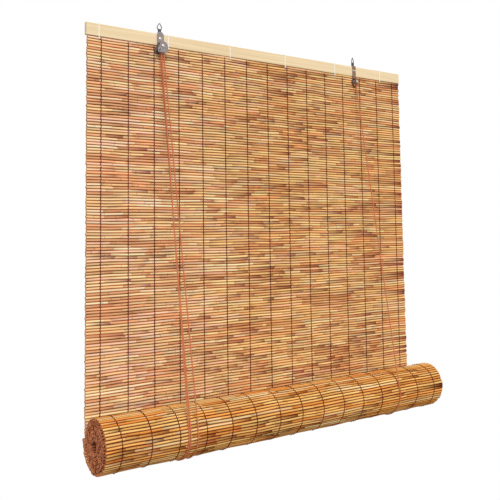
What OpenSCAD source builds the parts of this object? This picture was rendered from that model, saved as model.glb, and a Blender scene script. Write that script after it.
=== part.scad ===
// Reed roll-up blind: a bamboo head rail, a reed mat tied with twine, the lower part of the
// mat rolled up in front, two pulley blocks with hanging loops, and the cords that lift the roll.
// Frame: +Z up, -Y to the front. The origin is the middle of the head rail's back face.

/* [Blind] */
// Width of the mat and of the head rail
blind_w = 800; // [500:1:1400]
// Reed rows that hang between the rail and the roll
mat_rows = 135; // [70:1:200]
// Diameter of a reed
reed_d = 5.4; // [4:0.1:7]
// How far two neighbouring reeds press into each other
reed_press = 0.2; // [0.1:0.05:0.4]
// From the rail's back face to the middle of the mat
mat_back = 4; // [3.6:0.1:6]

/* [Head rail] */
// Height of the rail
rail_h = 23; // [16:0.5:40]
// Thickness of the rail
rail_t = 8; // [7:0.5:14]
// Radius of the rail's long edges
rail_edge = 1.2; // [0.5:0.1:2]
// Number of thread ties round the rail, fewer where the rail is too short for them
tie_count = 6; // [2:1:10]
// From the rail's left end to the first tie
tie_first = 24; // [12:1:60]
// Distance from tie to tie
tie_pitch = 142; // [60:1:150]
// Least distance from the last tie to the rail's right end
tie_edge = 12; // [5:1:60]
// Width of the tie thread where it lies on the rail
tie_w = 1.8; // [1:0.1:3]
// Thickness of the tie thread
tie_t = 0.8; // [0.5:0.1:1]

/* [Twines] */
// Number of twines that tie the reeds together
twine_count = 15; // [5:1:31]
// From the mat's left side to the first twine
twine_left = 29; // [12:1:60]
// From the mat's right side to the last twine
twine_right = 24; // [12:1:60]
// Diameter of a twine
twine_d = 0.9; // [0.6:0.1:1]

/* [Roll] */
// Full turns of mat in the roll
roll_turns = 6; // [2:1:9]
// Air between two turns
turn_gap = 0.8; // [0.5:0.1:2]
// Diameter of the bamboo rod at the end of the mat
rod_d = 16; // [10:0.5:30]
// How far the rod's ends lie inside the roll
rod_inset = 6; // [2:1:30]
// How far the rolled reeds stand out past the mat at the right
roll_over = 16; // [0:1:30]

/* [Pulley blocks] */
// From the middle of the blind to each block
block_x = 251.5; // [150:0.5:600]
// Thickness of the sheet steel
sheet_t = 1.2; // [0.8:0.1:1.6]
// Width of the left block's round-topped plate
left_plate_w = 14.6; // [10:0.2:20]
// Width of the right block's plate
right_plate_w = 10; // [9:0.2:14]
// How high the left block's tab stands above the rail
left_tab_rise = 3.5; // [3:0.1:8]
// Width of the tabs that are folded back over the rail
tab_w = 7; // [6:0.1:9]
// From the middle of the rail down to the left block's axle
left_axle_drop = 14.5; // [12:0.5:30]
// From the middle of the rail down to the right block's axle
right_axle_drop = 25; // [20:0.5:40]
// Radius of the left block's cheeks
left_cheek_r = 8.6; // [7:0.1:12]
// Radius of the right block's rear cheek
right_cheek_r = 7.8; // [6.5:0.1:12]
// Width of the right block's front cheek
front_cheek_w = 8; // [7:0.1:12]
// Diameter of the axle rivets
axle_d = 3; // [2:0.1:3.2]
// Diameter of the rivet heads
rivet_d = 5.4; // [4.5:0.1:7]
// Height of the rivet heads
rivet_h = 1.1; // [0.6:0.1:1.4]
// Outside radius of a sheave
sheave_r = 6; // [5.4:0.1:6.4]
// Width of the left block's two sheaves
left_sheave_w = 5; // [4.8:0.1:7]
// Width of the right block's sheave
right_sheave_w = 7; // [5:0.1:9]
// Radius at the bottom of a sheave's groove
groove_r = 2.4; // [2.2:0.1:3]
// Diameter of the left wood screw's head
left_screw_head_d = 5.4; // [4:0.1:7]
// Diameter of the right wood screws' heads
right_screw_head_d = 3.6; // [3:0.1:4.4]
// Diameter of the wood screws' shanks
screw_d = 2; // [1.6:0.1:2.4]
// Length of the wood screws under their heads
screw_l = 6.4; // [4:0.1:7]
// Height of the screws above the middle of the rail
screw_z = 2; // [0:0.5:4]
// From the middle of the right plate to each of its screws
screw_side = 2.7; // [2.4:0.1:3]

/* [Cord lock] */
// Radius of the lock roller
lock_r = 2.2; // [1.6:0.1:2.6]
// Radius of the lock roller's pin ends
lock_pin_r = 0.8; // [0.6:0.05:1]
// How far the roller slides in its slots
lock_travel = 3; // [2:0.1:4]
// Slope of the slots below the horizontal, in degrees
lock_slope = 53; // [40:1:70]
// From the axle down the strands to the locked roller
lock_down = 6.5; // [6:0.1:9]
// Metal left round the ends of the slots
lock_rim = 2.4; // [1:0.1:4]

/* [Hanging loops] */
// Diameter of the loop's wire
loop_wire = 1.8; // [1.2:0.1:2.4]
// Radius of the loop's wide end, to the middle of the wire
loop_wide_r = 4.8; // [4:0.1:7]
// Radius of the loop's narrow end, to the middle of the wire
loop_tip_r = 1.3; // [1:0.1:2]
// From the middle of the wide end to the middle of the narrow end
loop_rise = 6.6; // [5:0.1:12]
// Diameter of the swivel's collar
collar_d = 6.4; // [5:0.1:6.8]
// Height of the collars' tops above the rail
collar_rise = 9.6; // [9:0.1:16]
// How far the right loop is turned on its swivel, in degrees
right_loop_turn = 20; // [0:1:60]
// Diameter of the swivel's stem
stem_d = 3; // [2:0.1:3.6]
// Diameter of the swivel's head under the tab
stem_head_d = 4.8; // [4:0.1:5]

/* [Cords] */
// Diameter of the lift cords
cord_d = 2.6; // [2:0.1:3]
// How far the strands lean in below the sheaves, in degrees
cord_lean = 6; // [2:0.5:10]
// Where the left pull strand meets the roll, from the middle of the blind
left_pull_x = -246.5; // [-600:0.5:-100]
// From there to where the left tail strand meets the roll
tail_step = 3.5; // [3.4:0.1:8]
// From there to where the left lift strand meets the roll
lift_step = 18.5; // [10:0.5:40]
// Where the right lift strand meets the roll, from the middle of the blind
right_lift_x = 275.5; // [100:0.5:600]
// Radius of the cords' knots
knot_r = 2.6; // [2:0.1:4]

/* [Clearances] */
// Running gap between a shaft and its hole, at the radius
run_gap = 0.05; // [0.02:0.01:0.1]
// Gap between pieces that move past each other, or that lie loosely together
free_gap = 0.3; // [0.2:0.05:0.5]
// Gap between pieces that lie against each other
touch_gap = 0.05; // [0.02:0.01:0.1]

/* [Hidden] */
$fn = 48;
reed_fn = 24;
bamboo = "#ead6ac";
steel = "#9b9a9c";
cord_colour = "#c9713f";

// The mat: its plane, its rows and where it ends
mat_y = -mat_back;
row_pitch = reed_d - reed_press;
mat_top = -rail_h / 2 - touch_gap;
function row_z(k) = mat_top - reed_d / 2 - k * row_pitch;
mat_end_z = row_z(mat_rows - 1);
mat_front = mat_y - reed_d / 2;
mat_rear = mat_y + reed_d / 2;

// The roll: half turns of falling radius. The lower halves are round the roll's own axis,
// the upper halves round a centre half a turn's pitch further forward, so that they meet.
turn_pitch = reed_d + turn_gap;
half_turns = 2 * roll_turns;
inner_r = rod_d / 2 + free_gap + reed_d / 2;
outer_r = inner_r + (half_turns - 1) * turn_pitch / 2;
roll_y = mat_y - outer_r;
roll_z = mat_end_z - reed_d - free_gap;
upper_y = roll_y - turn_pitch / 2;
roll_skin_r = outer_r + reed_d / 2;
function half_r(i) = outer_r - i * turn_pitch / 2;
half_start = [for (i = 0, s = 0; i <= half_turns; s = s + PI * half_r(i), i = i + 1) s];
function half_at(s, i = 0) = (i >= half_turns - 1 || s < half_start[i + 1]) ? i : half_at(s, i + 1);
function half_point(i, turn) = (i % 2 == 0)
    ? [roll_y + half_r(i) * cos(turn), roll_z - half_r(i) * sin(turn)]
    : [upper_y - half_r(i) * cos(turn), roll_z + half_r(i) * sin(turn)];
function roll_point(s) =
    let (i = half_at(s), turn = (s - half_start[i]) / half_r(i) * 180 / PI) half_point(i, turn);
roll_reeds = floor(half_start[half_turns] / row_pitch);

// Ties and twines
ties = min(tie_count, 1 + floor((blind_w - tie_first - tie_edge) / tie_pitch));
tie_low_z = row_z(0) - row_pitch / 2;
tie_knot_r = 1.5;
twine_span = blind_w - twine_left - twine_right;
function twine_x(k) = twine_left - blind_w / 2 + k * twine_span / (twine_count - 1);
twine_front_end = mat_end_z + 15;
ring_upper_turn = 150;

// The blocks: a plate on the rail's front, with its tab back over the rail, and a front cheek
plate_y = -rail_t - sheet_t;
tab_y = -rail_t / 2 - 0.6;
left_top = rail_h / 2 + left_tab_rise;
right_top = rail_h / 2 + touch_gap + sheet_t;
left_rear_y = plate_y - free_gap - left_sheave_w / 2;
left_front_y = left_rear_y - left_sheave_w - 2 * free_gap;
left_cheek_y = left_front_y - left_sheave_w / 2 - free_gap - sheet_t;
right_mid_y = plate_y - free_gap - right_sheave_w / 2;
right_cheek_y = right_mid_y - right_sheave_w / 2 - free_gap - sheet_t;
left_axle_z = -left_axle_drop;
right_axle_z = -right_axle_drop;
bridge_up = sheave_r + 0.8;

// The cord's line round a sheave, and the lock roller beside the left strands
cord_r = cord_d / 2;
wrap_r = groove_r + free_gap + cord_r;
lock_out = wrap_r + cord_r + free_gap + lock_r;
lock_x = -lock_out * cos(cord_lean) + lock_down * sin(cord_lean);
lock_z = -lock_out * sin(cord_lean) - lock_down * cos(cord_lean);
lock_path = [-cos(lock_slope), 0, -sin(lock_slope)] * lock_travel;
lobe_left = lock_x + lock_path[0] - lock_pin_r - lock_rim;
lobe_low = lock_z + lock_path[2] - lock_pin_r - lock_rim;
cord_leave = 15;
tail_end = 7;

// A tie that would lie under a block stands beside it
tie_room = max(tie_knot_r, tie_w / 2) + free_gap;
left_half = max(left_plate_w / 2, left_cheek_r, -lobe_left) + tie_room;
right_half = max(right_plate_w / 2, right_cheek_r) + tie_room;
function beside(x, middle, half) = abs(x - middle) >= half ? x : x < middle ? middle - half : middle + half;
function tie_x(k) =
    beside(beside(-blind_w / 2 + tie_first + k * tie_pitch, -block_x, left_half), block_x, right_half);

// The cords round the roll
sling_r = roll_skin_r + free_gap + cord_r;
sling_rear_y = roll_y + sling_r;
knot_z = row_z(0) - row_pitch / 2;
function front_turn(y, z) =
    atan2(z - roll_z, y - roll_y) + acos(sling_r / norm([y - roll_y, z - roll_z]));
left_tail_x = left_pull_x + tail_step;
left_lift_x = left_pull_x + lift_step;

// Hanging loops
loop_tangent = asin((loop_wide_r - loop_tip_r) / loop_rise);
collar_top = rail_h / 2 + collar_rise;
loop_z = collar_top - loop_wire / 2 - 0.5 + loop_wide_r;

// A profile drawn in (y, z), drawn out along X
module along_x(length) {
    rotate([90, 0, 90]) linear_extrude(height = length) children();
}

// A plate drawn in (x, z) whose front face lies at y
module plate(y, t) {
    translate([0, y + t, 0]) rotate([90, 0, 0]) linear_extrude(height = t) children();
}

// A hole or pin along Y
module along_y(x, y, z, length, r) {
    translate([x, y, z]) rotate([-90, 0, 0]) cylinder(r = r, h = length);
}

// A straight round run from a to b
module straight(a, b, r) {
    d = b - a;
    translate(a) rotate([0, acos(d[2] / norm(d)), atan2(d[1], d[0])]) cylinder(r = r, h = norm(d));
}

module rail_section() {
    low = rail_edge - rail_h / 2;
    for (y = [-rail_t + rail_edge, -rail_edge], z = [low, -low])
        translate([y, z]) circle(r = rail_edge);
    translate([-rail_t + rail_edge, -rail_h / 2]) square([rail_t - 2 * rail_edge, rail_h]);
    translate([-rail_t, low]) square([rail_t, -2 * low]);
}

// Saw kerfs across the back keep the ties flush there. The right swivel's head has a recess on top.
module head_rail() color(bamboo) difference() {
    translate([-blind_w / 2, 0, 0]) along_x(blind_w) rail_section();
    for (k = [0 : ties - 1])
        translate([tie_x(k) - tie_w / 2 - touch_gap, -tie_t - 2 * touch_gap, -rail_h])
            cube([tie_w + 2 * touch_gap, rail_t, 2 * rail_h]);
    for (x = [-block_x, block_x - screw_side, block_x + screw_side])
        along_y(x, -rail_t - 1, screw_z, screw_l - sheet_t + 1 + touch_gap, screw_d / 2 + touch_gap);
    translate([block_x, tab_y, rail_h / 2 - rivet_h - 1])
        cylinder(d = stem_head_d + 2 * free_gap, h = 2 * rivet_h + 2);
}

// Each tie is a flat thread round the rail and the top reed, knotted at the front
module rail_ties() color("ivory") for (k = [0 : ties - 1]) translate([tie_x(k), 0, 0]) {
    front = -rail_t - touch_gap;
    rear = -touch_gap;
    top = rail_h / 2 + touch_gap;
    translate([-tie_w / 2, 0, 0]) along_x(tie_w) difference() {
        translate([front - tie_t, tie_low_z - tie_t / 2])
            square([rear - front + tie_t, top - tie_low_z + 1.5 * tie_t]);
        translate([front, tie_low_z + tie_t / 2]) square([rear - front - tie_t, top - tie_low_z - tie_t / 2]);
    }
    translate([0, front - tie_t, tie_low_z + tie_knot_r]) sphere(r = tie_knot_r);
}

// One wall of reeds pressed side by side, with a slit for each tie under the top reed
module reed_mat() color("#c8914f") difference() {
    translate([-blind_w / 2, 0, 0]) along_x(blind_w)
        for (k = [0 : mat_rows - 1]) translate([mat_y, row_z(k)]) circle(d = reed_d, $fn = reed_fn);
    for (k = [0 : ties - 1])
        translate([tie_x(k) - tie_w / 2 - touch_gap, mat_y - reed_d, tie_low_z - tie_t / 2 - touch_gap])
            cube([tie_w + 2 * touch_gap, 2 * reed_d, tie_t + 2 * touch_gap]);
}

// Each twine has a strand on the front of the reeds and one behind them
module mat_twines() color("#4a2c22") for (k = [0 : twine_count - 1]) {
    off = reed_d / 2 + touch_gap + twine_d / 2;
    translate([twine_x(k), mat_y - off, twine_front_end])
        cylinder(d = twine_d, h = mat_top - twine_front_end, $fn = reed_fn);
    translate([twine_x(k), mat_y + off, mat_end_z])
        cylinder(d = twine_d, h = mat_top - mat_end_z, $fn = reed_fn);
}

// The rolled part of the mat is one spiral wall of reeds
module reed_roll() color("#c58a3c")
    translate([-blind_w / 2, 0, 0]) along_x(blind_w + roll_over)
        for (k = [0 : roll_reeds - 1]) translate(roll_point(k * row_pitch)) circle(d = reed_d, $fn = reed_fn);

// A half ring in the plane of a turn, from the angle a on
module ring_arc(x, y, r, a, sweep, d) {
    translate([x, y, roll_z]) rotate([90, 0, 90]) rotate([0, 0, a])
        rotate_extrude(angle = sweep) translate([r, 0]) circle(d = d, $fn = reed_fn);
}

// The twines go on round the outer turn
module roll_twines() color("#4a2c22") for (k = [0 : twine_count - 1]) {
    off = reed_d / 2 + touch_gap + twine_d / 2;
    ring_arc(twine_x(k), roll_y, half_r(0) + off, 180.2, 175.8, twine_d);
    ring_arc(twine_x(k), upper_y, half_r(1) + off, 180 - ring_upper_turn, ring_upper_turn - 0.2, twine_d);
}

module bottom_rod() color(bamboo)
    translate([rod_inset - blind_w / 2, upper_y, roll_z]) rotate([0, 90, 0])
        cylinder(d = rod_d, h = blind_w - 2 * rod_inset);

// The lobe of the left cheeks, below and left of the axle, that holds the lock roller's slots
module lock_lobe() {
    polygon([[-left_plate_w / 3, left_cheek_r / 2], [lobe_left, lock_z + lock_r],
        [lobe_left, lobe_low + 1], [lobe_left + 1, lobe_low], [left_cheek_r - 1, lobe_low],
        [left_cheek_r, lobe_low + 1], [left_cheek_r, 0]]);
}

module lock_slot(r) {
    for (s = [0, 1]) translate([lock_x + s * lock_path[0], lock_z + s * lock_path[2]]) circle(r = r);
    translate([lock_x, lock_z]) rotate(180 + lock_slope) translate([0, -r]) square([lock_travel, 2 * r]);
}

module left_cheek() {
    difference() {
        union() {
            circle(r = left_cheek_r);
            lock_lobe();
        }
        lock_slot(lock_pin_r + run_gap);
    }
}

// The tab folded back over the rail, with the hole that the swivel's stem turns in
module rail_tab(top) {
    translate([-tab_w / 2, plate_y, top - sheet_t]) cube([tab_w, sheet_t + rail_t - 1.2, sheet_t]);
}

module stem_hole(top) {
    translate([0, tab_y, top - 2 * sheet_t]) cylinder(d = stem_d + 2 * run_gap, h = 3 * sheet_t);
}

// The bridge from the plate to the front cheek, above the sheaves
module bridge(w, cheek_y, axle_z) {
    translate([-w / 2, cheek_y, axle_z + bridge_up]) cube([w, plate_y - cheek_y + sheet_t, sheet_t]);
}

module left_frame() color(steel) translate([-block_x, 0, 0]) difference() {
    union() {
        plate(plate_y, sheet_t) {
            translate([0, left_top - left_plate_w / 2]) circle(d = left_plate_w);
            translate([-left_plate_w / 2, left_axle_z])
                square([left_plate_w, left_top - left_plate_w / 2 - left_axle_z]);
            translate([0, left_axle_z]) left_cheek();
        }
        plate(left_cheek_y, sheet_t) translate([0, left_axle_z]) left_cheek();
        bridge(left_cheek_r, left_cheek_y, left_axle_z);
        rail_tab(left_top);
    }
    along_y(0, left_cheek_y - 1, left_axle_z, -left_cheek_y, axle_d / 2 + touch_gap);
    along_y(0, plate_y - 1, screw_z, sheet_t + 2, screw_d / 2 + touch_gap);
    stem_hole(left_top);
}

module right_frame() color(steel) translate([block_x, 0, 0]) difference() {
    union() {
        plate(plate_y, sheet_t) {
            translate([-right_plate_w / 2, right_axle_z]) square([right_plate_w, right_top - right_axle_z]);
            translate([0, right_axle_z]) circle(r = right_cheek_r);
        }
        plate(right_cheek_y, sheet_t) {
            translate([0, right_axle_z]) circle(d = front_cheek_w);
            translate([-front_cheek_w / 2, right_axle_z]) square([front_cheek_w, bridge_up + sheet_t]);
        }
        bridge(front_cheek_w, right_cheek_y, right_axle_z);
        rail_tab(right_top);
    }
    along_y(0, right_cheek_y - 1, right_axle_z, -right_cheek_y, axle_d / 2 + touch_gap);
    for (x = [-screw_side, screw_side])
        along_y(x, plate_y - 1, screw_z, sheet_t + 2, screw_d / 2 + touch_gap);
    stem_hole(right_top);
}

// A rivet with a round head at the front, flush at the back
module axle(x, z, cheek_y) {
    front = cheek_y - touch_gap;
    along_y(x, front, z, -rail_t - front, axle_d / 2);
    round_head(x, front, z, rivet_d);
}

// A low round head whose flat side lies at y
module round_head(x, y, z, d) {
    translate([x, y, z]) rotate([90, 0, 0]) intersection() {
        cylinder(d = d, h = rivet_h);
        translate([0, 0, rivet_h - d]) sphere(r = d);
    }
}

module left_axle() color("silver") axle(-block_x, left_axle_z, left_cheek_y);

module right_axle() color("silver") axle(block_x, right_axle_z, right_cheek_y);

// A grooved wheel round a Y axis
module sheave(x, y, z, w) {
    half = w / 2;
    bore = axle_d / 2 + run_gap;
    groove_half = cord_r + free_gap;
    rim_half = half - 0.4;
    translate([x, y, z]) rotate([90, 0, 0]) rotate_extrude() difference() {
        translate([bore, -half]) square([sheave_r - bore, w]);
        polygon([[groove_r, -groove_half], [groove_r, groove_half], [sheave_r + 1, rim_half],
            [sheave_r + 1, -rim_half]]);
    }
}

module left_front_sheave() color("gainsboro") sheave(-block_x, left_front_y, left_axle_z, left_sheave_w);

module left_rear_sheave() color("gainsboro") sheave(-block_x, left_rear_y, left_axle_z, left_sheave_w);

module right_sheave() color("gainsboro") sheave(block_x, right_mid_y, right_axle_z, right_sheave_w);

// The lock roller jams the left strands against the sheaves. Its pin ends ride in the slots.
module lock_roller() color("dimgray") {
    x = lock_x - block_x;
    z = left_axle_z + lock_z;
    front = left_cheek_y + sheet_t + free_gap;
    along_y(x, front, z, plate_y - free_gap - front, lock_r);
    along_y(x, left_cheek_y, z, -rail_t - left_cheek_y, lock_pin_r);
}

// A round-headed wood screw through the plate into the rail
module wood_screw(x, head_d) {
    head_y = plate_y - touch_gap;
    along_y(x, head_y, screw_z, screw_l, screw_d / 2);
    round_head(x, head_y, screw_z, head_d);
}

module left_screw() color("silver") wood_screw(-block_x, left_screw_head_d);

module right_screws() color("silver") for (x = [-screw_side, screw_side])
    wood_screw(block_x + x, right_screw_head_d);

// The loop's wire as a teardrop, the narrow end up, in the (x, z) plane
module teardrop_arc(z, r, a, sweep, wire) {
    translate([0, 0, z]) rotate([90, 0, 0]) rotate([0, 0, a])
        rotate_extrude(angle = sweep) translate([r, 0]) circle(d = wire);
}

// Small beads of solder close the four joints between its bends and its legs
module hanging_loop() {
    bead_r = loop_wire / 2 + 0.06;
    teardrop_arc(loop_z, loop_wide_r, 180 - loop_tangent, 180 + 2 * loop_tangent, loop_wire);
    teardrop_arc(loop_z + loop_rise, loop_tip_r, loop_tangent, 180 - 2 * loop_tangent, loop_wire);
    for (s = [-1, 1]) {
        low = [s * loop_wide_r * cos(loop_tangent), 0, loop_z + loop_wide_r * sin(loop_tangent)];
        high = [s * loop_tip_r * cos(loop_tangent), 0, loop_z + loop_rise + loop_tip_r * sin(loop_tangent)];
        straight(low, high, loop_wire / 2);
        translate(low) sphere(r = bead_r);
        translate(high) sphere(r = bead_r);
    }
}

// The swivel's collar holds the loop's wire in its eye, and its stem turns in the tab
module swivel(top) {
    head_z = top - sheet_t - free_gap;
    seat_z = top + touch_gap;
    difference() {
        union() {
            translate([0, 0, seat_z]) cylinder(d = collar_d, h = collar_top - seat_z);
            translate([0, 0, head_z - rivet_h]) cylinder(d = stem_d, h = seat_z - head_z + rivet_h);
            translate([0, 0, head_z - rivet_h]) cylinder(d = stem_head_d, h = rivet_h);
        }
        teardrop_arc(loop_z, loop_wide_r, 180, 180, loop_wire + 2 * touch_gap);
    }
}

module on_left_tab() {
    translate([-block_x, tab_y, 0]) children();
}

module on_right_tab() {
    translate([block_x, tab_y, 0]) rotate([0, 0, right_loop_turn]) children();
}

module left_swivel() color("#4c4b4e") on_left_tab() swivel(left_top);

module left_hanging_loop() color("silver") on_left_tab() hanging_loop();

module right_swivel() color("#4c4b4e") on_right_tab() swivel(right_top);

module right_hanging_loop() color("silver") on_right_tab() hanging_loop();

// A cord over a sheave, its ends leaning in below it: left and right say how far each end runs on
module bight(x, y, z, left, right) {
    translate([x, y, z]) {
        rotate([90, 0, 0]) rotate([0, 0, -cord_lean]) rotate_extrude(angle = 180 + 2 * cord_lean)
            translate([wrap_r, 0]) circle(r = cord_r);
        straight(off_sheave(-1, 0), off_sheave(-1, left), cord_r);
        straight(off_sheave(1, 0), off_sheave(1, right), cord_r);
        for (side = [-1, 1]) translate(off_sheave(side, 0)) sphere(r = cord_r + 0.06);
    }
}

// The point of a strand at the distance t below its sheave, from the sheave's middle: side is -1 or 1
function off_sheave(side, t) = [side * (wrap_r * cos(cord_lean) - t * sin(cord_lean)), 0,
    -wrap_r * sin(cord_lean) - t * cos(cord_lean)];

module end_knot(x, y, z, side) {
    translate([x, y, z] + off_sheave(side, tail_end)) sphere(r = knot_r);
}

module left_cord_bight() color(cord_colour) bight(-block_x, left_front_y, left_axle_z, cord_leave, cord_leave);

// The tail and the right cord are knotted off under their sheaves
module tail_cord_bight() color(cord_colour) {
    bight(-block_x, left_rear_y, left_axle_z, cord_leave, tail_end);
    end_knot(-block_x, left_rear_y, left_axle_z, 1);
}

module right_cord_bight() color(cord_colour) {
    bight(block_x, right_mid_y, right_axle_z, tail_end, cord_leave);
    end_knot(block_x, right_mid_y, right_axle_z, -1);
}

// A strand from its block to the front of the roll
function leave_point(x, side, y, z) = [x, y, z] + off_sheave(side, cord_leave + free_gap);
function meet_point(x, y, z) =
    let (a = front_turn(y, z)) [x, roll_y + sling_r * cos(a), roll_z + sling_r * sin(a) + free_gap];

module front_run(x, from) {
    straight(from, meet_point(x, from[1], from[2]), cord_r);
}

// The same strand under the roll, from the front to the back
module sling(x, from) {
    a = front_turn(from[1], from[2]);
    ring_arc(x, roll_y, sling_r, a, 360 - a, cord_d);
}

// The same strand up the back of the mat to its knot under the rail
module rear_run(x) {
    translate([x, sling_rear_y, roll_z + free_gap])
        cylinder(r = cord_r, h = knot_z - knot_r - roll_z - 2 * free_gap);
}

left_pull = leave_point(-block_x, -1, left_front_y, left_axle_z);
left_lift = leave_point(-block_x, 1, left_front_y, left_axle_z);
left_tail = leave_point(-block_x, -1, left_rear_y, left_axle_z);
right_lift = leave_point(block_x, 1, right_mid_y, right_axle_z);

module left_cord_front() color(cord_colour) {
    front_run(left_pull_x, left_pull);
    front_run(left_lift_x, left_lift);
}

module tail_cord_front() color(cord_colour) front_run(left_tail_x, left_tail);

module right_cord_front() color(cord_colour) front_run(right_lift_x, right_lift);

module left_cord_slings() color(cord_colour) {
    sling(left_pull_x, left_pull);
    sling(left_lift_x, left_lift);
}

module tail_cord_sling() color(cord_colour) sling(left_tail_x, left_tail);

module right_cord_sling() color(cord_colour) sling(right_lift_x, right_lift);

module left_cord_rear() color(cord_colour) {
    rear_run(left_pull_x);
    rear_run(left_lift_x);
}

module tail_cord_rear() color(cord_colour) rear_run(left_tail_x);

module right_cord_rear() color(cord_colour) rear_run(right_lift_x);

// Knots at the back of the top reeds hold the cords' ends
module cord_knots() color(cord_colour)
    for (x = [(left_pull_x + left_tail_x) / 2, left_lift_x, right_lift_x])
        translate([x, mat_rear + free_gap + knot_r, knot_z]) sphere(r = knot_r);

head_rail();
rail_ties();
reed_mat();
mat_twines();
reed_roll();
roll_twines();
bottom_rod();
left_frame();
left_axle();
left_front_sheave();
left_rear_sheave();
lock_roller();
left_screw();
left_swivel();
left_hanging_loop();
right_frame();
right_axle();
right_sheave();
right_screws();
right_swivel();
right_hanging_loop();
left_cord_bight();
tail_cord_bight();
right_cord_bight();
left_cord_front();
tail_cord_front();
right_cord_front();
left_cord_slings();
tail_cord_sling();
right_cord_sling();
left_cord_rear();
tail_cord_rear();
right_cord_rear();
cord_knots();
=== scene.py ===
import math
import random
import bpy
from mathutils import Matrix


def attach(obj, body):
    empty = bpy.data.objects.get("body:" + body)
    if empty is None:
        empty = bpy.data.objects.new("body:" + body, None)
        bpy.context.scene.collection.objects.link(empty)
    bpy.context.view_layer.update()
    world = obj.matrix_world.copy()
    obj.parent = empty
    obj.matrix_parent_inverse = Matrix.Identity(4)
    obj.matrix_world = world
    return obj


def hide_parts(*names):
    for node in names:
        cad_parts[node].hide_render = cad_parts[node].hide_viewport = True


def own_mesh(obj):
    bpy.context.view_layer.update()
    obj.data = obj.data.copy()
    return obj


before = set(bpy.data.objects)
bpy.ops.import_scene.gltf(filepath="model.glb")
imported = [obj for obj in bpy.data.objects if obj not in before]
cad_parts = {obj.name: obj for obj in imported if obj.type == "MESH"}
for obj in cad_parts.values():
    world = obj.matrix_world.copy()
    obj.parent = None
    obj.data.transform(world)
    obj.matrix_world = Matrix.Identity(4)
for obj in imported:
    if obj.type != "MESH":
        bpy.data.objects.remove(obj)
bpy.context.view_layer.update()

# %% [markdown]
# # A roll-up reed blind
# The CAD model gives every piece its place: a bamboo rail, a wall of reeds, a spiral of reeds,
# sheet-steel pulley blocks and cords. This lesson gives the pieces their looks. Reeds are real, separate
# rods here, because a bump on a flat wall would show no dark grooves from the side, and the groove is
# what reads as a reed mat.

# %% Tools and the sizes shared with the CAD model
from types import SimpleNamespace

import bpy
import numpy as np
from mathutils import Matrix, Vector

MM = 0.001
BLIND_W = 0.800
REED_R = 2.7 * MM
ROW_PITCH = 5.2 * MM
MAT_Y = -4.0 * MM
MAT_TOP = -11.55 * MM
MAT_ROWS = 135
OUTER_R = 45.1 * MM
TURN_PITCH = 6.2 * MM
HALF_TURNS = 12
ROLL_OVER = 16 * MM
ROLL_Y = MAT_Y - OUTER_R
MAT_END = MAT_TOP - REED_R - (MAT_ROWS - 1) * ROW_PITCH
ROLL_Z = MAT_END - 5.7 * MM
CLEARANCE = 0.3 * MM
rng = random.Random(20)
print("mat ends at", round(MAT_END, 4), "roll axis", round(ROLL_Y, 4), round(ROLL_Z, 4))

# %% [markdown]
# ## Camera
# The camera was found by fitting the rail's corners and the roll's outline to the photo: it stands to the
# left, at mid height, and looks slightly up with its lens shifted. The shift is a real lens shift, so
# upright edges stay where the photo has them. Tilting the camera instead would make them converge.

# %% Camera
CAMERA_POS = Vector((-0.888209, -1.190383, -0.372025))
YAW = math.radians(35.1185)
PITCH = math.radians(4.8035)
ROLL_ANGLE = math.radians(-0.75977)
level = Vector((math.cos(YAW), -math.sin(YAW), 0))
ahead = Vector((math.sin(YAW) * math.cos(PITCH), math.cos(YAW) * math.cos(PITCH), math.sin(PITCH)))
upright = level.cross(ahead)
right = level * math.cos(ROLL_ANGLE) + upright * math.sin(ROLL_ANGLE)
upward = upright * math.cos(ROLL_ANGLE) - level * math.sin(ROLL_ANGLE)
turned = Matrix((right, upward, -ahead)).transposed().to_4x4()
camera = bpy.data.objects.new("camera", bpy.data.cameras.new("camera"))
bpy.context.scene.collection.objects.link(camera)
camera.matrix_world = Matrix.Translation(CAMERA_POS) @ turned
camera.data.sensor_width = 36
camera.data.lens = 51.4566
camera.data.shift_x = 0.008327
camera.data.shift_y = -0.150255
bpy.context.scene.camera = camera
print("camera at", tuple(round(v, 3) for v in CAMERA_POS))

# %% [markdown]
# ## Building meshes
# Reeds, twines and cords are all tubes, so one small builder collects rings of points, the faces between
# them and a colour for each point. Colour on the points lets one mesh hold hundreds of reeds of different
# browns. One object for each reed would be far slower to draw and to pose.

# %% Mesh builder
class Builder:
    def __init__(self):
        self.points, self.colours, self.faces, self.smooth = [], [], [], []
        self.count = 0

    def ring(self, points, colour):
        first = self.count
        self.points.append(np.asarray(points, float))
        rgb = np.broadcast_to(np.asarray(colour, float), (len(points), 3))
        self.colours.append(np.clip(np.hstack([rgb, np.ones((len(points), 1))]), 0, 1))
        self.count += len(points)
        return first

    def wall(self, a, b, sides, smooth=True):
        for i in range(sides):
            j = (i + 1) % sides
            self.faces.append((a + i, a + j, b + j, b + i))
            self.smooth.append(smooth)

    def cap(self, a, sides, flip):
        face = tuple(range(a, a + sides))
        self.faces.append(face[::-1] if flip else face)
        self.smooth.append(False)

    def make(self, name, material, body, slot, *nodes):
        mesh = bpy.data.meshes.new(name)
        mesh.from_pydata(np.concatenate(self.points), [], self.faces)
        layer = mesh.attributes.new("colour_and_painted_shade", "FLOAT_COLOR", "POINT")
        layer.data.foreach_set("color", np.concatenate(self.colours).astype(np.float32).ravel())
        mesh.polygons.foreach_set("use_smooth", self.smooth)
        mesh.materials.append(material)
        mesh.update()
        made = bpy.data.objects.new(name, mesh)
        bpy.context.scene.collection.objects.link(made)
        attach(made, body)
        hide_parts(*nodes)
        print(name, "has", sum(len(f) - 2 for f in self.faces), "triangles")
        return made


print("mesh builder ready")

# %% [markdown]
# A tube needs two directions across its line at every point. They are carried along from one point to the
# next, each time made square to the line again, so that the tube doesn't twist where the line bends. The
# first one comes from a slanting direction that no tube here runs along.

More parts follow.
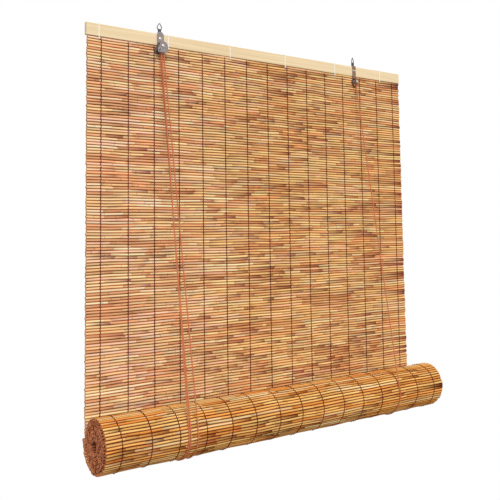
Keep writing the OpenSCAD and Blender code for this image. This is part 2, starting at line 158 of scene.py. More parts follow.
# %% Tubes
SLANT = [0.31, 0.52, 0.79]


def across_line(line):
    tangent = np.gradient(line, axis=0)
    tangent /= np.linalg.norm(tangent, axis=1)[:, None]
    normal = np.cross(tangent[0], SLANT)
    first, second = [], []
    for along in tangent:
        normal = normal - along * normal.dot(along)
        normal /= np.linalg.norm(normal)
        first.append(normal)
        second.append(np.cross(along, normal))
    return np.array(first), np.array(second)


def add_tube(builder, line, radius, sides, colour, caps=True):
    line = np.asarray(line, float)
    angles = np.arange(sides) * 2 * math.pi / sides
    rings = []
    for centre, first, second in zip(line, *across_line(line)):
        circle = np.outer(np.cos(angles), first) + np.outer(np.sin(angles), second)
        rings.append(builder.ring(centre + radius * circle, colour))
    for a, b in zip(rings, rings[1:]):
        builder.wall(a, b, sides)
    if caps:
        builder.cap(rings[0], sides, True)
        builder.cap(rings[-1], sides, False)


print("tubes ready")

# %% [markdown]
# ## Materials
# All looks are procedural. Reed and bamboo get streaks that run along the fibre: a noise stretched forty
# times or more along X. The reed's own colour comes from its points, and so does the shade painted into
# its grooves, points and hollow ends, so that neighbours differ the way cut reeds do.

# %% Material helpers
NOISE_DETAIL = 4.0


def linear(r, g, b):
    return np.array([((v / 255 + 0.055) / 1.055) ** 2.4 for v in (r, g, b)])


def new_material(name):
    made = bpy.data.materials.new(name)
    made.use_nodes = True
    tree = made.node_tree
    return made, tree, tree.nodes["Principled BSDF"]


def noise(tree, stretch, scale):
    where = tree.nodes.new("ShaderNodeTexCoord")
    mapping = tree.nodes.new("ShaderNodeMapping")
    mapping.inputs["Scale"].default_value = stretch
    texture = tree.nodes.new("ShaderNodeTexNoise")
    texture.inputs["Scale"].default_value = scale
    texture.inputs["Detail"].default_value = NOISE_DETAIL
    tree.links.new(where.outputs["Object"], mapping.inputs["Vector"])
    tree.links.new(mapping.outputs["Vector"], texture.inputs["Vector"])
    return texture.outputs["Fac"]


def ramp(tree, value, low, high, low_colour, high_colour):
    made = tree.nodes.new("ShaderNodeValToRGB")
    for stop, place, colour in zip(made.color_ramp.elements, (low, high), (low_colour, high_colour)):
        stop.position = place
        stop.color = (*colour, 1)
    tree.links.new(value, made.inputs["Fac"])
    return made.outputs["Color"]


def multiply(tree, a, b):
    made = tree.nodes.new("ShaderNodeMix")
    made.data_type = "RGBA"
    made.blend_type = "MULTIPLY"
    made.inputs["Factor"].default_value = 1.0
    tree.links.new(a, made.inputs["A"])
    tree.links.new(b, made.inputs["B"])
    return made.outputs["Result"]


def bump(tree, shader, value, strength, distance):
    made = tree.nodes.new("ShaderNodeBump")
    made.inputs["Strength"].default_value = strength
    made.inputs["Distance"].default_value = distance
    tree.links.new(value, made.inputs["Height"])
    tree.links.new(made.outputs["Normal"], shader.inputs["Normal"])


print("material helpers ready")

# %% Kinds of material
METAL_GRAIN = 60
METAL_DARK = 0.82
METAL_RELIEF = 0.05 * MM


def point_colour_material(name, stretch, scale, dark, roughness, relief, gloss):
    made, tree, shader = new_material(name)
    shader.inputs["Specular IOR Level"].default_value = gloss
    colour = tree.nodes.new("ShaderNodeAttribute")
    colour.attribute_name = "colour_and_painted_shade"
    streak = noise(tree, stretch, scale)
    shade = ramp(tree, streak, 0.3, 0.7, (dark,) * 3, (1.0, 1.0, 1.0))
    tree.links.new(multiply(tree, colour.outputs["Color"], shade), shader.inputs["Base Color"])
    shader.inputs["Roughness"].default_value = roughness
    bump(tree, shader, streak, 0.25, relief)
    return made


def two_tone_material(name, stretch, scale, dark, light, roughness, relief):
    made, tree, shader = new_material(name)
    streak = noise(tree, stretch, scale)
    tree.links.new(ramp(tree, streak, 0.35, 0.65, dark, light), shader.inputs["Base Color"])
    shader.inputs["Roughness"].default_value = roughness
    bump(tree, shader, streak, 0.3, relief)
    return made


def metal_material(name, colour, roughness, stretch):
    dark = METAL_DARK * colour
    made = two_tone_material(name, stretch, METAL_GRAIN, dark, colour, roughness, METAL_RELIEF)
    made.node_tree.nodes["Principled BSDF"].inputs["Metallic"].default_value = 1.0
    return made


print("kinds of material ready")

# %% Looks
EVEN = (1, 1, 1)
ROLLED = (1, 1, 8)
reed_look = point_colour_material("reed", stretch=(6, 420, 420), scale=1.0, dark=0.76, roughness=0.5,
                                  relief=0.2 * MM, gloss=0.0)
twine_look = point_colour_material("twine", stretch=EVEN, scale=900, dark=0.55, roughness=0.9,
                                   relief=0.2 * MM, gloss=0.0)
thread_look = point_colour_material("thread", stretch=EVEN, scale=900, dark=0.8, roughness=0.9,
                                    relief=0.1 * MM, gloss=0.2)
cord_look = point_colour_material("cord", stretch=EVEN, scale=1400, dark=0.7, roughness=0.85,
                                  relief=0.2 * MM, gloss=0.1)
bamboo_look = two_tone_material("bamboo", stretch=(5, 260, 260), scale=1.0, dark=linear(218, 193, 150),
                                light=linear(231, 208, 170), roughness=0.5, relief=0.1 * MM)
rod_look = two_tone_material("rod", stretch=(5, 200, 200), scale=1.0, dark=linear(150, 92, 64),
                             light=linear(190, 124, 88), roughness=0.5, relief=0.2 * MM)
sheave_look = two_tone_material("sheave", stretch=EVEN, scale=500, dark=linear(84, 80, 84),
                                light=linear(112, 108, 112), roughness=0.5, relief=0.1 * MM)
sheet_look = metal_material("sheet steel", linear(148, 138, 136), roughness=0.45, stretch=ROLLED)
thin_sheet_look = metal_material("thin sheet steel", linear(146, 116, 100), roughness=0.5, stretch=ROLLED)
dark_look = metal_material("dark steel", linear(70, 74, 80), roughness=0.4, stretch=EVEN)
bright_look = metal_material("bright steel", linear(196, 192, 192), roughness=0.3, stretch=EVEN)
wire_look = metal_material("wire", linear(98, 99, 101), roughness=0.4, stretch=EVEN)
print("materials:", ", ".join(sorted(m.name for m in bpy.data.materials)))

# %% [markdown]
# ## The hard pieces
# Rail, blocks, rivets, screws, wheels and loops already have their exact shapes in the CAD model, so they
# only get materials. Replacing them would risk the fit of the shafts for no gain.

# %% Materials for the CAD pieces
CAD_LOOKS = {
    bamboo_look: ("head_rail",),
    rod_look: ("bottom_rod",),
    sheet_look: ("left_frame",),
    thin_sheet_look: ("right_frame",),
    dark_look: ("left_swivel", "right_swivel", "lock_roller"),
    bright_look: ("left_axle", "right_axle", "left_screw", "right_screws"),
    wire_look: ("left_hanging_loop", "right_hanging_loop"),
    sheave_look: ("left_front_sheave", "left_rear_sheave", "right_sheave"),
}
for look, names in CAD_LOOKS.items():
    for name in names:
        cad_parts[name].data.materials.clear()
        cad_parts[name].data.materials.append(look)
        print(name, "is", look.name)

# %% [markdown]
# ## Reeds
# A row of the mat isn't one reed: short lengths are laid end to end and the twines hold them. So each row
# is cut into lengths with their own brown, thickness and place. Most are one brown from end to end, and
# some turn dark towards one end. The mat's left side is paler and a little pinker, so the colours shift
# there and dark reeds get rarer. Each number beside a brown says how often it is picked. In a kind of
# reed, the groove numbers are the share of red, green and blue that the painted shade leaves in the
# groove, the crest numbers say how fast that painted shade sets in beside the crest in each of them, and
# calm says how much rarer dark reeds get at the left.

# %% Kinds of reed
LEFT_STARTS = 0.05
LEFT_TINT = np.array([1.06, 1.12, 1.4])
TINT_WIDTH = 0.25


def how_far_left(x, width):
    return min(1.0, max(0.0, (-x - LEFT_STARTS) / width))


def plain(x):
    return 1.0


def blush(x):
    return LEFT_TINT ** how_far_left(x, TINT_WIDTH)


MAT_KIND = SimpleNamespace(
    browns=[(linear(255, 211, 144), 6), (linear(253, 202, 132), 6), (linear(252, 200, 150), 3),
            (linear(240, 176, 116), 5), (linear(255, 218, 160), 3)],
    darks=[(linear(150, 82, 56), 3), (linear(204, 132, 88), 3), (linear(150, 82, 74), 2)],
    dark_share=0.33, calm=0.6, longest=0.12, tint=blush, cut=linear(240, 184, 134),
    groove_shade=np.array([0.40, 0.16, 0.07]), shade_falloff=np.array([1.4, 2.1, 2.4]))
ROLL_KIND = SimpleNamespace(
    browns=[(linear(255, 202, 124), 6), (linear(254, 188, 106), 6), (linear(255, 216, 156), 3),
            (linear(245, 165, 82), 4)],
    darks=[(linear(110, 46, 22), 3), (linear(188, 98, 50), 3)],
    dark_share=0.36, calm=0.0, longest=0.15, tint=plain, cut=linear(212, 134, 94),
    groove_shade=np.array([0.06, 0.016, 0.004]), shade_falloff=np.array([1.7, 3.1, 3.9]))
CORE_KIND = SimpleNamespace(
    browns=[(linear(170, 104, 74), 1)], darks=[], dark_share=0.0, calm=0.0, longest=1.5, tint=plain,
    cut=ROLL_KIND.cut, groove_shade=ROLL_KIND.groove_shade, shade_falloff=ROLL_KIND.shade_falloff)
print("browns for the mat:", len(MAT_KIND.browns), "and for the roll:", len(ROLL_KIND.browns))

# %% [markdown]
# Each reed is painted darker towards the groove on both sides, a painted shade where neighbouring reeds
# meet, and the crest that faces outwards keeps the full brown. The painted shade loses blue first and red
# last, so it looks brown and not grey. How dark it is changes along each reed.

# %% Painted groove shade of a reed
REED_SIDES = 10
REED_ANGLES = (np.arange(REED_SIDES) + 0.5) * 2 * math.pi / REED_SIDES
# How deep the painted groove shade is: deep in some rings, light in most
DEEP_GROOVE_SHADE_SHARE = 0.3
DEEP_GROOVE_SHADE = (0, 0.3)
LIGHT_GROOVE_SHADE = (0.6, 1.8)
UNSHADED_CREST_WIDTH = 1.25
BROWN_SPREAD = (0.84, 1.12)


def pick(browns):
    colour = rng.choices([c for c, _ in browns], [w for _, w in browns])[0]
    return np.clip(colour * rng.uniform(*BROWN_SPREAD), 0, 1)


def reed_ring(builder, x, y, z, r, colour):
    across = y + r * np.cos(REED_ANGLES)
    upwards = z + r * np.sin(REED_ANGLES)
    return builder.ring(np.stack([np.full(REED_SIDES, x), across, upwards], axis=1), colour)


# Paints shade on the reed's colour: darker towards the grooves, full colour at the outward crest
def paint_groove_shade(kind, colour, face):
    spread = DEEP_GROOVE_SHADE if rng.random() < DEEP_GROOVE_SHADE_SHARE else LIGHT_GROOVE_SHADE
    groove_shade = np.clip(kind.groove_shade * rng.uniform(*spread), 0, 1)
    unshaded_share = np.clip(UNSHADED_CREST_WIDTH * np.cos(REED_ANGLES - face) ** 2, 0, 1)[:, None] ** kind.shade_falloff
    return colour * (groove_shade + (1 - groove_shade) * unshaded_share)


print("a reed has", REED_SIDES, "sides")

# %% [markdown]
# The sawn ends are hollow, which shows at the sides of the mat and most of all at the ends of the roll. A
# lip and a shallow cup, painted darker inwards as the shade of the deep hollow, are enough, because nobody
# looks far into a reed.

# %% Sawn ends
LIP = 0.55
LIP_SHADE = 0.8
CUP = 0.5
CUP_DEPTH = 1.5 * MM
HOLLOW_SHADE = 0.35
END_SPREAD = (0.7, 1.6)


def cut_end(builder, x, y, z, r, colour, out):
    colour = colour * rng.uniform(*END_SPREAD)
    rim = reed_ring(builder, x, y, z, r, colour)
    # The lip and the cup get painted shade, darker towards the hollow
    lip = reed_ring(builder, x, y, z, LIP * r, LIP_SHADE * colour)
    cup = reed_ring(builder, x - out * CUP_DEPTH, y, z, CUP * r, HOLLOW_SHADE * colour)
    pairs = ((rim, lip), (lip, cup)) if out > 0 else ((lip, rim), (cup, lip))
    for a, b in pairs:
        builder.wall(a, b, REED_SIDES, False)
    builder.cap(cup, REED_SIDES, out < 0)


print("a sawn end is", round(CUP_DEPTH / MM, 1), "mm deep")

# %% [markdown]
# One reed is a row of rings. Inside a row it ends in a slanting point that lies over the next reed, as
# split reeds do. Most points are painted darker, a painted shadow where they lie over the next reed, and a
# reed that starts under the one before is painted darker at its first ring, a painted shade. Some have the
# thick ring where a leaf grew. All wave a little, so the grooves aren't ruled lines.

# %% One reed
STATION = 0.045
SHADE_SPREAD = (0.9, 1.06)
START_SIZE = 0.97
START_UNDER_REED_SHADE = 0.8
TIP_LENGTHS = (6, 16)
TIP_LEANS = (-0.5, 0.5)
TIP_SIZE = 0.3
TIP_SHADOWS = (0.55, 0.8, 1.0)
LEAF_SHARE = 0.25
LEAF_PLACES = (0.3, 0.7)
LEAF_HALF = 1.4 * MM
LEAF_RINGS = ((-LEAF_HALF, 1.0, 0.95), (0.0, 1.07, 0.6), (LEAF_HALF, 1.0, 1.08))
WAVE = 0.45 * MM


def wobble(x, z):
    return WAVE * (math.sin(37 * x + 40 * z) + 0.6 * math.sin(83 * x - 25 * z + 1.3))


def reed_stations(length, r, cut_left, cut_right):
    # Each station is its place along the reed, its size, its shade and how far it is lifted
    tip = rng.uniform(*TIP_LENGTHS) * MM
    lean = rng.choice(TIP_LEANS) * r
    body = length if cut_right else length - tip
    count = max(2, round(body / STATION))
    stations = [(body * n / count, 1.0, rng.uniform(*SHADE_SPREAD), 0.0) for n in range(count + 1)]
    # A reed that starts under the one before gets painted shade at its first ring
    if not cut_left:
        stations[0] = (0.0, START_SIZE, START_UNDER_REED_SHADE, 0.0)
    # Its point gets a painted shadow where it lies over the next reed
    if not cut_right:
        stations.append((length, TIP_SIZE, rng.choice(TIP_SHADOWS), lean))
    if rng.random() < LEAF_SHARE:
        leaf = body * rng.uniform(*LEAF_PLACES)
        stations += [(leaf + step, size, shade, 0.0) for step, size, shade in LEAF_RINGS]
    return sorted(stations)


def add_reed(builder, kind, x0, x1, y, z, r, face, colours, cut_left, cut_right):
    length = x1 - x0
    rings = []
    for along, size, shade, lift in reed_stations(length, r, cut_left, cut_right):
        x = x0 + along
        colour = colours[0] + (colours[1] - colours[0]) * along / length
        # The groove shade is painted onto each ring's colour here
        painted = paint_groove_shade(kind, colour * shade, face)
        rings.append(reed_ring(builder, x, y, z + wobble(x, z) + lift, r * size, painted))
    for a, b in zip(rings, rings[1:]):
        builder.wall(a, b, REED_SIDES)
    if cut_left:
        cut_end(builder, x0, y, z + wobble(x0, z), r, kind.cut, -1)
    else:
        builder.cap(rings[0], REED_SIDES, True)
    if cut_right:
        cut_end(builder, x1, y, z + wobble(x1, z), r, kind.cut, 1)
    else:
        builder.cap(rings[-1], REED_SIDES, False)


print("rings along a reed stand about", round(STATION / MM), "mm apart")

# %% [markdown]
# A row is filled from left to right. Dark reeds come in loose patches, because reeds from one bundle are
# laid near each other. Two slow waves across the mat decide where.

# %% One row of reeds
OVERLAP = 18 * MM
DARK_LENGTHS = (0.035, 0.085)
SHORTEST_SHARE = 0.3
LEAST_END = 0.04
THICKEST = 1.07
SWAY_Y = 0.35
SWAY_Z = 0.06
PATCHINESS = 0.8
CALM_WIDTH = 0.3


def patch(kind, x, z):
    calm = 1 - kind.calm * how_far_left(x, CALM_WIDTH)
    return calm * (1 + PATCHINESS * math.sin(11 * x + 17 * z + 0.7) * math.sin(23 * z - 8 * x + 1.9))


def add_row(builder, kind, x0, x1, y, z, face):
    x = x0
    while x < x1:
        dark = rng.random() < kind.dark_share * patch(kind, x, z)
        length = rng.uniform(*DARK_LENGTHS) if dark else rng.uniform(SHORTEST_SHARE, 1.0) * kind.longest
        stop = x + length
        if x1 - stop < LEAST_END:
            stop = x1
        r = REED_R * rng.uniform(1.0, THICKEST)
        colours = [pick(kind.browns), pick(kind.darks)] if dark else [pick(kind.browns)] * 2
        colours = np.array(colours) * kind.tint(x)
        reed_y = y + rng.uniform(-SWAY_Y, SWAY_Y) * MM
        reed_z = z + rng.uniform(-SWAY_Z, SWAY_Z) * MM
        add_reed(builder, kind, x, stop, reed_y, reed_z, r, face, colours, x == x0, stop == x1)
        x = stop if stop == x1 else stop - OVERLAP


print("reeds in a row overlap by", round(OVERLAP / MM), "mm")

# %% [markdown]
# ## The hanging mat
# When the roll rises, the mat's lower rows go into it, and rows can't vanish here. The mat gets a mesh of
# its own, and it hangs from the hanging part.

# %% Hanging mat
MAT_LEFT_ENDS = (2.0, 3.4)
MAT_RIGHT_ENDS = (-1.5, 1.0)
mat = Builder()
for k in range(MAT_ROWS):
    z = MAT_TOP - REED_R - k * ROW_PITCH
    left = -BLIND_W / 2 + rng.uniform(*MAT_LEFT_ENDS) * MM
    stop = BLIND_W / 2 + rng.uniform(*MAT_RIGHT_ENDS) * MM
    add_row(mat, MAT_KIND, left, stop, MAT_Y, z, 0.0)
mat_piece = mat.make("mat_reeds", reed_look, "hanging_part", "mat_reed", "reed_mat")


def draw_up(piece):
    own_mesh(piece)


draw_up(mat_piece)

# %% [markdown]
# ## The roll
# The mat goes on into a spiral. Half turns about two centres make one, as in the CAD model: simple arcs
# that meet smoothly. Every reed of the spiral is there, because its cut end shows at the side. The mat
# was rolled a little askew, so the outer turn shifts to the right step by step.

# %% The spiral
UPPER_Y = ROLL_Y - TURN_PITCH / 2
HALF_RADII = [OUTER_R - i * TURN_PITCH / 2 for i in range(HALF_TURNS)]
HALF_STARTS = [0.0]
for radius in HALF_RADII:
    HALF_STARTS.append(HALF_STARTS[-1] + math.pi * radius)


def roll_point(s, out=0.0):
    i = max(n for n in range(HALF_TURNS) if s >= HALF_STARTS[n] or n == 0)
    turn = (s - HALF_STARTS[i]) / HALF_RADII[i]
    r = HALF_RADII[i] + out
    if i % 2 == 0:
        return ROLL_Y + r * math.cos(turn), ROLL_Z - r * math.sin(turn), -turn
    return UPPER_Y - r * math.cos(turn), ROLL_Z + r * math.sin(turn), math.pi - turn


def roll_shift(s):
    return ROLL_OVER * min(1.0, s / HALF_STARTS[1]) if s < HALF_STARTS[2] else 0.5 * ROLL_OVER


print("rolled length", round(HALF_STARTS[-1], 3), "m")

# %% Roll
SEEN_REEDS = 64
LEFT_SHIFT = 0.1
ROLL_LEFT_ENDS = (-0.7, 0.7)
ROLL_RIGHT_ENDS = (-2.0, 1.0)
roll = Builder()
for k in range(int(HALF_STARTS[-1] / ROW_PITCH)):
    seen = k < SEEN_REEDS
    y, z, face = roll_point(k * ROW_PITCH)
    shift = roll_shift(k * ROW_PITCH)
    left = -BLIND_W / 2 + LEFT_SHIFT * shift * seen + rng.uniform(*ROLL_LEFT_ENDS) * MM
    stop = BLIND_W / 2 + shift + rng.uniform(*ROLL_RIGHT_ENDS) * MM
    add_row(roll, ROLL_KIND if seen else CORE_KIND, left, stop, y, z, face)
roll.make("roll_reeds", reed_look, "roll", "roll_reed", "reed_roll")

# %% [markdown]
# ## Twines
# Two strands twist round each other between every two reeds, so one passes over a reed where the other
# passes under it. A wave with a length of two reeds, and the same wave turned over, give just that.

# %% Twines
TWINES = 15
TWINE_LEFT = 29 * MM
TWINE_SPAN = BLIND_W - 53 * MM
TWINE_X = [-BLIND_W / 2 + TWINE_LEFT + k * TWINE_SPAN / (TWINES - 1) for k in range(TWINES)]
TWINE_R = 0.95 * MM
TWINE_SIDES = 5
TWINE_OUT = REED_R + 0.45 * MM
TWINE_SWAY = 0.5 * MM
TWINE_BROWN = linear(106, 46, 38)
TWINE_SPREAD = (0.8, 1.15)
TWINE_DRIFT = (-0.4, 0.4)
INNER_SHARE = 0.6
SHIFT_SHARE = 0.7
STEPS = 4
ROLL_TWINE_ROWS = 50
mat_twine, roll_twine = Builder(), Builder()
for x in TWINE_X:
    for side in (-1, 1):
        colour = TWINE_BROWN * rng.uniform(*TWINE_SPREAD)
        drift = rng.uniform(*TWINE_DRIFT) * MM
        line = []
        for n in range((MAT_ROWS - 3) * STEPS + 1):
            wave = math.cos(math.pi * n / STEPS)
            sway = side * TWINE_SWAY * math.sin(math.pi * n / STEPS)
            z = MAT_TOP - REED_R - n * ROW_PITCH / STEPS
            line.append((x + drift + sway, MAT_Y + side * TWINE_OUT * wave, z))
        add_tube(mat_twine, line, TWINE_R, TWINE_SIDES, colour)
        line = []
        for n in range(ROLL_TWINE_ROWS * STEPS + 1):
            s = n * ROW_PITCH / STEPS
            wave = math.cos(math.pi * n / STEPS)
            sway = side * TWINE_SWAY * math.sin(math.pi * n / STEPS)
            y, z, _ = roll_point(s, side * wave * TWINE_OUT * (1.0 if side * wave > 0 else INNER_SHARE))
            askew = SHIFT_SHARE * roll_shift(s) * (x / BLIND_W + 0.5)
            line.append((x + askew + drift + sway, y, z))
        add_tube(roll_twine, line, TWINE_R, TWINE_SIDES, colour)
mat_twine_piece = mat_twine.make("mat_twine_strands", twine_look, "hanging_part", "twine", "mat_twines")
draw_up(mat_twine_piece)
roll_twine.make("roll_twine_strands", twine_look, "roll", "twine", "roll_twines")

# %% [markdown]
# ## Ties
# White threads hold the mat's top reed to the rail. Each is wound round three times and knotted in front,
# and the two ends hang down. A trefoil curve makes a small tight knot with no need to model how it was
# tied.

# %% Loops and knots
def trefoil(centre, size, count=36):
    t = np.linspace(0, 2 * math.pi, count)
    knot = np.stack([np.sin(t) + 2 * np.sin(2 * t), -np.sin(3 * t), np.cos(t) - 2 * np.cos(2 * t)], axis=1)
    return np.asarray(centre) + knot * size / 3


def rounded_loop(y0, y1, z0, z1, r, count=6):
    corners = [(y1 - r, z1 - r, 0), (y0 + r, z1 - r, 90), (y0 + r, z0 + r, 180), (y1 - r, z0 + r, 270)]
    loop = []
    for y, z, start in corners:
        for i in range(count):
            a = math.radians(start + 90 * i / (count - 1))
            loop.append((y + r * math.cos(a), z + r * math.sin(a)))
    return loop + loop[:1]


print("a knot has", len(trefoil((0, 0, 0), 1)), "points")

# %% Thread ties
TIES = 6
TIE_FIRST = 24 * MM
TIE_PITCH = 142 * MM
TIE_X = [-BLIND_W / 2 + TIE_FIRST + k * TIE_PITCH for k in range(TIES)]
TIE_FRONT = -8.45 * MM
TIE_BACK = -0.45 * MM
TIE_TOP = 11.95 * MM
TIE_LOW = MAT_TOP - REED_R - ROW_PITCH / 2
TIE_CORNER = 0.6 * MM
WINDINGS = (-0.6 * MM, 0.0, 0.6 * MM)
THREAD_R = 0.34 * MM
THREAD_SIDES = 6
THREAD_WHITE = linear(250, 246, 236)
TIE_KNOT = 1.2 * MM
KNOT_THREAD_R = 0.45 * MM
KNOT_FORWARD = 0.7 * MM
KNOT_UP = 1.6 * MM
LEFT_END_LENGTHS = (1.5, 2.5)
RIGHT_END_LENGTHS = (1.5, 3)
DROOP = np.array([0, 0.8 * MM, 0])
ties = Builder()
for x in TIE_X:
    for step in WINDINGS:
        loop = rounded_loop(TIE_FRONT, TIE_BACK, TIE_LOW, TIE_TOP, TIE_CORNER)
        winding = [(x + step, y, z) for y, z in loop]
        add_tube(ties, winding, THREAD_R, THREAD_SIDES, THREAD_WHITE, caps=False)
    knot_at = np.array([x, TIE_FRONT - KNOT_FORWARD, TIE_LOW + KNOT_UP])
    add_tube(ties, trefoil(knot_at, TIE_KNOT), KNOT_THREAD_R, THREAD_SIDES, THREAD_WHITE)
    left_length = rng.uniform(*LEFT_END_LENGTHS)
    right_length = rng.uniform(*RIGHT_END_LENGTHS)
    for lean, length in ((-0.25, left_length), (0.3, right_length)):
        t = np.linspace(0, 1, 8)[:, None]
        end = knot_at + t * length * MM * np.array([lean, -0.1, -1]) + t ** 2 * DROOP
        add_tube(ties, end, THREAD_R, THREAD_SIDES, THREAD_WHITE)
ties.make("tie_threads", thread_look, "hanging_part", "tie_thread", "rail_ties")

# %% [markdown]
# ## Cords
# The lift cord is laid rope of three strands. Each strand is a tube on a helix round the cord's line, so
# the lay shows close up. The cord comes in the same lengths as in the CAD model: over the wheel, down to
# the roll, under it and up the back.

# %% Rope builder
CORD_R = 1.3 * MM
STRAND_R = 0.62 * MM
STRAND_SIDES = 5
STRAND_SHADES = (0.92, 1.0, 1.06)
LAY = 8.0 * MM
CORD_COLOUR = linear(218, 130, 88)


def resample(points, step):
    points = np.asarray(points, float)
    run = np.concatenate([[0], np.cumsum(np.linalg.norm(np.diff(points, axis=0), axis=1))])
    count = max(int(run[-1] / step), 4)
    at = np.linspace(0, run[-1], count)
    return np.stack([np.interp(at, run, points[:, i]) for i in range(3)], axis=1), at


def add_rope(builder, points):
    line, run = resample(points, LAY / 6)
    first, second = across_line(line)
    for strand, shade in enumerate(STRAND_SHADES):
        phase = 2 * math.pi * (run / LAY + strand / 3)
        offset = first * np.cos(phase)[:, None] + second * np.sin(phase)[:, None]
        add_tube(builder, line + offset * (CORD_R - STRAND_R), STRAND_R, STRAND_SIDES, CORD_COLOUR * shade)


print("rope", round(2 * CORD_R / MM, 1), "mm thick, one twist in", round(LAY / MM), "mm")

# %% [markdown]
# The cord's points come from the same few rules as the CAD source: the wheel it goes over, its lean below
# the wheel, the line that just touches the roll's sling, and the arc under the roll. The last stretch of
# that line stays with the sling, so that the shortened cord passes in front of the roll and not through
# it when it is up.

# %% Cord routes
BLOCK_X = 251.5 * MM
WRAP_R = 4.0 * MM
LEAN = math.radians(6)
LEAVE = 15 * MM
TAIL = 7 * MM
STAY = 20 * MM
SLING_R = OUTER_R + REED_R + CLEARANCE + CORD_R
KNOT_Z = MAT_TOP - REED_R - ROW_PITCH / 2
KNOT_R = 2.6 * MM
REAR_TOP = KNOT_Z - KNOT_R
WHEELS = {"left": (-BLOCK_X, -17.6 * MM, -14.5 * MM), "tail": (-BLOCK_X, -12.0 * MM, -14.5 * MM),
          "right": (BLOCK_X, -13.0 * MM, -25.0 * MM)}
STRANDS = {"left_cord": [("left", -1, -246.5 * MM), ("left", 1, -228.0 * MM)],
           "tail_cord": [("tail", -1, -243.0 * MM)],
           "right_cord": [("right", 1, 275.5 * MM)]}
BIGHTS = {"left_cord": ("left", LEAVE, LEAVE), "tail_cord": ("tail", LEAVE, TAIL),
          "right_cord": ("right", TAIL, LEAVE)}
END_KNOTS = {"tail_cord": ("tail", 1), "right_cord": ("right", -1)}


def off_wheel(wheel, side, t):
    x, y, z = WHEELS[wheel]
    return np.array([x + side * (WRAP_R * math.cos(LEAN) - t * math.sin(LEAN)), y,
                     z - WRAP_R * math.sin(LEAN) - t * math.cos(LEAN)])


def over_wheel(wheel, left_end, right_end):
    x, y, z = WHEELS[wheel]
    arc = [(x + WRAP_R * math.cos(a), y, z + WRAP_R * math.sin(a))
           for a in np.linspace(math.pi + LEAN, -LEAN, 24)]
    return [off_wheel(wheel, -1, left_end), *arc, off_wheel(wheel, 1, right_end)]


def meet_angle(start):
    y, z = start[1] - ROLL_Y, start[2] - ROLL_Z
    return math.atan2(z, y) + math.acos(SLING_R / math.hypot(y, z))


def on_sling(x, a):
    return (x, ROLL_Y + SLING_R * math.cos(a), ROLL_Z + SLING_R * math.sin(a))


print("cords:", ", ".join(STRANDS))

# %% Cords
KNOT_STRAND_R = 0.9 * MM
KNOT_SIDES = 7
END_KNOT = 1.5 * MM
for cord, strands in STRANDS.items():
    wheel, left_end, right_end = BIGHTS[cord]
    bight, front_run, sling, rear = Builder(), Builder(), Builder(), Builder()
    add_rope(bight, over_wheel(wheel, left_end, right_end))
    if cord in END_KNOTS:
        end_knot = trefoil(off_wheel(*END_KNOTS[cord], TAIL), END_KNOT)
        add_tube(bight, end_knot, KNOT_STRAND_R, KNOT_SIDES, CORD_COLOUR)
    for name, side, x in strands:
        start = off_wheel(name, side, LEAVE)
        a = meet_angle(start)
        touch = np.array(on_sling(x, a))
        join = touch + STAY * (start - touch) / np.linalg.norm(start - touch)
        add_rope(front_run, [start, join])
        add_rope(sling, [join] + [on_sling(x, b) for b in np.linspace(a, 2 * math.pi, 40)])
        add_rope(rear, [on_sling(x, 2 * math.pi), (x, ROLL_Y + SLING_R, REAR_TOP)])
    slings = cord + ("_slings" if len(strands) > 1 else "_sling")
    bight.make(cord + "_rope_bight", cord_look, "hanging_part", "cord", cord + "_bight")
    front_piece = front_run.make(cord + "_rope_front", cord_look, "hanging_part", "cord", cord + "_front")
    draw_up(front_piece)
    sling.make(cord + "_rope_sling", cord_look, "cord_slings", "cord", slings)
    rear_piece = rear.make(cord + "_rope_rear", cord_look, "hanging_part", "cord", cord + "_rear")
    draw_up(rear_piece)

# %% Knots behind the mat
KNOT_X = (-244.75 * MM, -228.0 * MM, 275.5 * MM)
KNOT_Y = MAT_Y + REED_R + CLEARANCE + KNOT_R
REAR_KNOT = 1.9 * MM
knots = Builder()
for x in KNOT_X:
    add_tube(knots, trefoil((x, KNOT_Y, KNOT_Z), REAR_KNOT), KNOT_STRAND_R, KNOT_SIDES, CORD_COLOUR)
knots.make("rope_knots", cord_look, "hanging_part", "cord", "cord_knots")

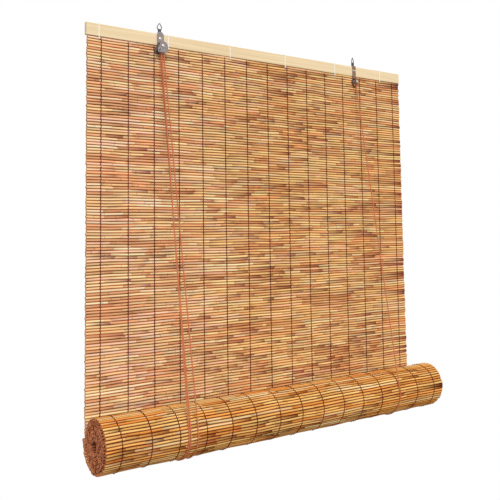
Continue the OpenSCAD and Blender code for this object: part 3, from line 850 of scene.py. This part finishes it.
# %% [markdown]
# ## Light
# The photo is a studio cut-out: plain white behind, soft light from the front and above, and no hard
# shadow. A white sky that only the camera and mirrors see gives the white ground, and a dimmer sky does
# the filling in, so that the grooves between the reeds stay dark. The main light is a wide sun. An area
# lamp would fade from the rail down to the roll, and the photo doesn't. A weaker sun lights the back for
# other views.

# %% Background
world = bpy.data.worlds.new("studio")
bpy.context.scene.world = world
world.use_nodes = True
sky = world.node_tree
sky.nodes.clear()
rays = sky.nodes.new("ShaderNodeLightPath")
fill = sky.nodes.new("ShaderNodeBackground")
fill.inputs["Color"].default_value = (1.0, 0.99, 0.97, 1)
fill.inputs["Strength"].default_value = 0.48
white = sky.nodes.new("ShaderNodeBackground")
white.inputs["Color"].default_value = (1, 1, 1, 1)
white.inputs["Strength"].default_value = 1.0
choose = sky.nodes.new("ShaderNodeMixShader")
out = sky.nodes.new("ShaderNodeOutputWorld")
seen = rays.outputs["Is Camera Ray"]
for ray in ("Is Glossy Ray", "Is Transmission Ray"):
    either = sky.nodes.new("ShaderNodeMath")
    either.operation = "MAXIMUM"
    sky.links.new(seen, either.inputs[0])
    sky.links.new(rays.outputs[ray], either.inputs[1])
    seen = either.outputs[0]
sky.links.new(seen, choose.inputs[0])
sky.links.new(fill.outputs[0], choose.inputs[1])
sky.links.new(white.outputs[0], choose.inputs[2])
sky.links.new(choose.outputs[0], out.inputs["Surface"])
bpy.context.scene.view_settings.view_transform = "Standard"
print("fill light", round(fill.inputs["Strength"].default_value, 2))

# %% Suns
SUNS = {"front": ((-0.25, -0.75, 0.62), 2.7), "back": ((0.3, 0.8, 0.45), 1.4)}
SUN_WIDTH = math.radians(35)
for name, (direction, strength) in SUNS.items():
    sun = bpy.data.objects.new(name, bpy.data.lights.new(name, "SUN"))
    sun.data.energy = strength
    sun.data.angle = SUN_WIDTH
    sun.rotation_euler = (-Vector(direction)).to_track_quat("-Z", "Y").to_euler()
    bpy.context.scene.collection.objects.link(sun)
print("suns:", ", ".join(SUNS))
